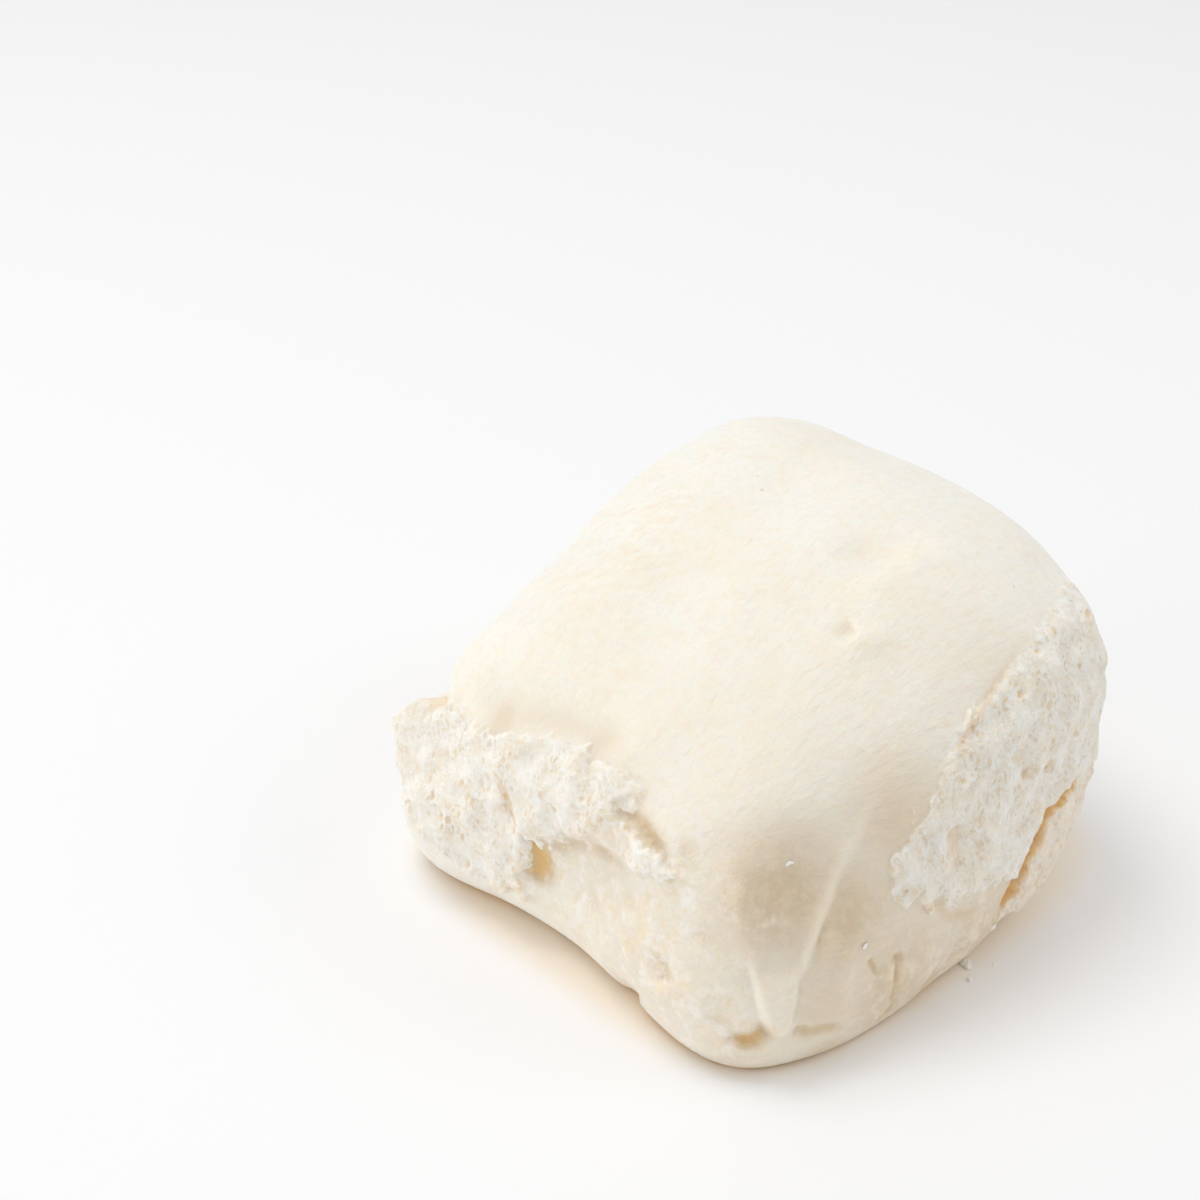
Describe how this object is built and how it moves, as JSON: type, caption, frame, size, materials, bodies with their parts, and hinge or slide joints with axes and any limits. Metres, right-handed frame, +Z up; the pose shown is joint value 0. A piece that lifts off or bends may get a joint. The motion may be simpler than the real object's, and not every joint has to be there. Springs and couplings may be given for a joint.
{
  "type": "steamed bun",
  "caption": "Soft white steamed bun with a smooth domed top and torn, cottony sides where it was pulled from its batch.",
  "frame": {"origin": "bottom centre of the bun, on the surface it rests on", "axes": "+Z up; the torn side with the hollow faces -Y, the torn side with the crack faces +X, and the dome is higher towards +Y"},
  "size_m": [0.0852, 0.0892, 0.055],
  "materials": {
    "bread": "soft matt steamed dough, smooth skin on top and rough white crumb on the torn sides"
  },
  "bodies": {
    "root": {"bun": "bread"}
  },
  "joints": []
}
